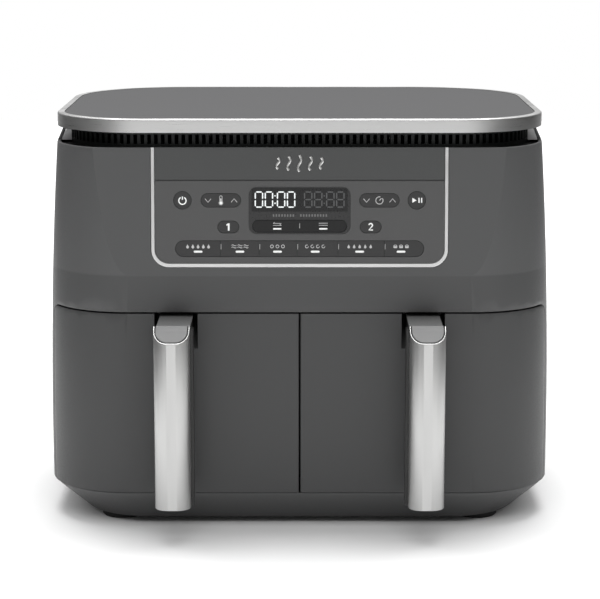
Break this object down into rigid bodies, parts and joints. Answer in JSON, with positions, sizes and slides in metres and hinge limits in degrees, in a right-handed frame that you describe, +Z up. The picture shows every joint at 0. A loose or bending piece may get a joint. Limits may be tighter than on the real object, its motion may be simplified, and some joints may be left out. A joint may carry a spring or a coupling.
{
  "type": "air fryer",
  "caption": "Countertop air fryer with side-by-side drawers, upright steel-clad handles, a sloping touch panel and a louvred lid; cooks food in hot moving air.",
  "frame": {"origin": "centre of the overall bounding box in plan, on the plane the feet stand on", "axes": "+Z up, -Y towards the user (the drawer handles), +X to the right as seen from the front"},
  "size_m": [0.395, 0.352, 0.317],
  "materials": {
    "housing_grey": "fine satin grain",
    "base_grey": "fine satin grain",
    "inner_black": "moulded, fine grain",
    "rubber_black": "matte",
    "silicone": "matte silicone",
    "lid_grey": "smooth satin",
    "brushed_steel": "brushed along its length",
    "bright_trim": "polished",
    "fascia_grey": "smooth satin",
    "key_grey": "smooth satin",
    "display_smoke": "smoked gloss",
    "display_light": "lit white",
    "cap_grey": "smooth satin",
    "nonstick": "ceramic nonstick coating, semi-gloss",
    "liner_steel": "aluminised sheet steel",
    "heater_steel": "heat-toned steel",
    "motor_metal": "cast and turned",
    "board_green": "solder-resist green",
    "switch_black": "moulded",
    "screw_zinc": "zinc plated"
  },
  "bodies": {
    "case": {"main_housing": "housing_grey", "base_tray": "base_grey", "rubber_feet": "rubber_black", "front_frame": "inner_black", "rear_cover": "inner_black", "cord_gland": "rubber_black", "lid_plate": "lid_grey", "lid_trim_band": "brushed_steel", "intake_grille": "inner_black", "control_fascia": "fascia_grey", "fascia_trim": "bright_trim", "display_lens": "display_smoke", "display_digits": "display_light", "control_board": "board_green", "power_board": "board_green", "drawer_rails": "liner_steel", "door_switches": "switch_black", "temperature_sensors": "heater_steel", "case_screws": "screw_zinc", "cavity_liner_left": "liner_steel", "heating_element_left": "heater_steel", "fan_shroud_left": "liner_steel", "fan_motor_left": "motor_metal", "cavity_liner_right": "liner_steel", "heating_element_right": "heater_steel", "fan_shroud_right": "liner_steel", "fan_motor_right": "motor_metal"},
    "drawer_left": {"drawer_front_left": "housing_grey", "drawer_back_plate_left": "inner_black", "drawer_pan_left": "nonstick", "handle_cover_left": "brushed_steel", "handle_core_left": "inner_black", "handle_cap_left": "cap_grey"},
    "crisper_left": {"crisper_plate_left": "nonstick", "crisper_bumpers_left": "silicone"},
    "rotor_left": {"convection_fan_left": "heater_steel", "motor_rotor_left": "motor_metal"},
    "drawer_right": {"drawer_front_right": "housing_grey", "drawer_back_plate_right": "inner_black", "drawer_pan_right": "nonstick", "handle_cover_right": "brushed_steel", "handle_core_right": "inner_black", "handle_cap_right": "cap_grey"},
    "crisper_right": {"crisper_plate_right": "nonstick", "crisper_bumpers_right": "silicone"},
    "rotor_right": {"convection_fan_right": "heater_steel", "motor_rotor_right": "motor_metal"},
    "power_key_cap": {"power_key": "key_grey"},
    "start_stop_key_cap": {"start_stop_key": "key_grey"},
    "zone_one_key_cap": {"zone_one_key": "key_grey"},
    "zone_two_key_cap": {"zone_two_key": "key_grey"},
    "max_heat_key_cap": {"max_heat_key": "key_grey"},
    "air_fry_key_cap": {"air_fry_key": "key_grey"},
    "roast_key_cap": {"roast_key": "key_grey"},
    "reheat_key_cap": {"reheat_key": "key_grey"},
    "dehydrate_key_cap": {"dehydrate_key": "key_grey"},
    "bake_key_cap": {"bake_key": "key_grey"},
    "temperature_rocker_cap": {"temperature_rocker": "key_grey"},
    "time_rocker_cap": {"time_rocker": "key_grey"},
    "sync_match_rocker_cap": {"sync_match_rocker": "key_grey"}
  },
  "joints": [
    {"name": "drawer_left_slide", "type": "slide", "parent": "case", "child": "drawer_left", "axis": [0, -1, 0], "range_m": [0, 0.3]},
    {"name": "crisper_left_lift", "type": "slide", "parent": "drawer_left", "child": "crisper_left", "axis": [0, 0, 1], "range_m": [0, 0.1]},
    {"name": "rotor_left_spin", "type": "hinge", "parent": "case", "child": "rotor_left", "pos_m": [-0.0915, 0.03, 0.2], "axis": [0, 0, 1], "continuous": true},
    {"name": "drawer_right_slide", "type": "slide", "parent": "case", "child": "drawer_right", "axis": [0, -1, 0], "range_m": [0, 0.3]},
    {"name": "crisper_right_lift", "type": "slide", "parent": "drawer_right", "child": "crisper_right", "axis": [0, 0, 1], "range_m": [0, 0.1]},
    {"name": "rotor_right_spin", "type": "hinge", "parent": "case", "child": "rotor_right", "pos_m": [0.0915, 0.03, 0.2], "axis": [0, 0, 1], "continuous": true},
    {"name": "power_key_press", "type": "slide", "parent": "case", "child": "power_key_cap", "axis": [0, 0.9962, -0.0872], "range_m": [0, 0.0006], "stiffness_N_per_m": 1500},
    {"name": "start_stop_key_press", "type": "slide", "parent": "case", "child": "start_stop_key_cap", "axis": [0, 0.9962, -0.0872], "range_m": [0, 0.0006], "stiffness_N_per_m": 1500},
    {"name": "zone_one_key_press", "type": "slide", "parent": "case", "child": "zone_one_key_cap", "axis": [0, 0.9962, -0.0872], "range_m": [0, 0.0006], "stiffness_N_per_m": 1500},
    {"name": "zone_two_key_press", "type": "slide", "parent": "case", "child": "zone_two_key_cap", "axis": [0, 0.9962, -0.0872], "range_m": [0, 0.0006], "stiffness_N_per_m": 1500},
    {"name": "max_heat_key_press", "type": "slide", "parent": "case", "child": "max_heat_key_cap", "axis": [0, 0.9962, -0.0872], "range_m": [0, 0.0006], "stiffness_N_per_m": 1500},
    {"name": "air_fry_key_press", "type": "slide", "parent": "case", "child": "air_fry_key_cap", "axis": [0, 0.9962, -0.0872], "range_m": [0, 0.0006], "stiffness_N_per_m": 1500},
    {"name": "roast_key_press", "type": "slide", "parent": "case", "child": "roast_key_cap", "axis": [0, 0.9962, -0.0872], "range_m": [0, 0.0006], "stiffness_N_per_m": 1500},
    {"name": "reheat_key_press", "type": "slide", "parent": "case", "child": "reheat_key_cap", "axis": [0, 0.9962, -0.0872], "range_m": [0, 0.0006], "stiffness_N_per_m": 1500},
    {"name": "dehydrate_key_press", "type": "slide", "parent": "case", "child": "dehydrate_key_cap", "axis": [0, 0.9962, -0.0872], "range_m": [0, 0.0006], "stiffness_N_per_m": 1500},
    {"name": "bake_key_press", "type": "slide", "parent": "case", "child": "bake_key_cap", "axis": [0, 0.9962, -0.0872], "range_m": [0, 0.0006], "stiffness_N_per_m": 1500},
    {"name": "temperature_rocker_rock", "type": "hinge", "parent": "case", "child": "temperature_rocker_cap", "pos_m": [-0.0598, -0.11706, 0.25514], "axis": [0, 0.0872, 0.9962], "range_deg": [-2.2, 2.2], "stiffness_Nm_per_rad": 0.4},
    {"name": "time_rocker_rock", "type": "hinge", "parent": "case", "child": "time_rocker_cap", "pos_m": [0.0606, -0.11706, 0.25514], "axis": [0, 0.0872, 0.9962], "range_deg": [-2.2, 2.2], "stiffness_Nm_per_rad": 0.4},
    {"name": "sync_match_rocker_rock", "type": "hinge", "parent": "case", "child": "sync_match_rocker_cap", "pos_m": [0, -0.11877, 0.23554], "axis": [0, 0.0872, 0.9962], "range_deg": [-0.9, 0.9], "stiffness_Nm_per_rad": 2.2}
  ]
}
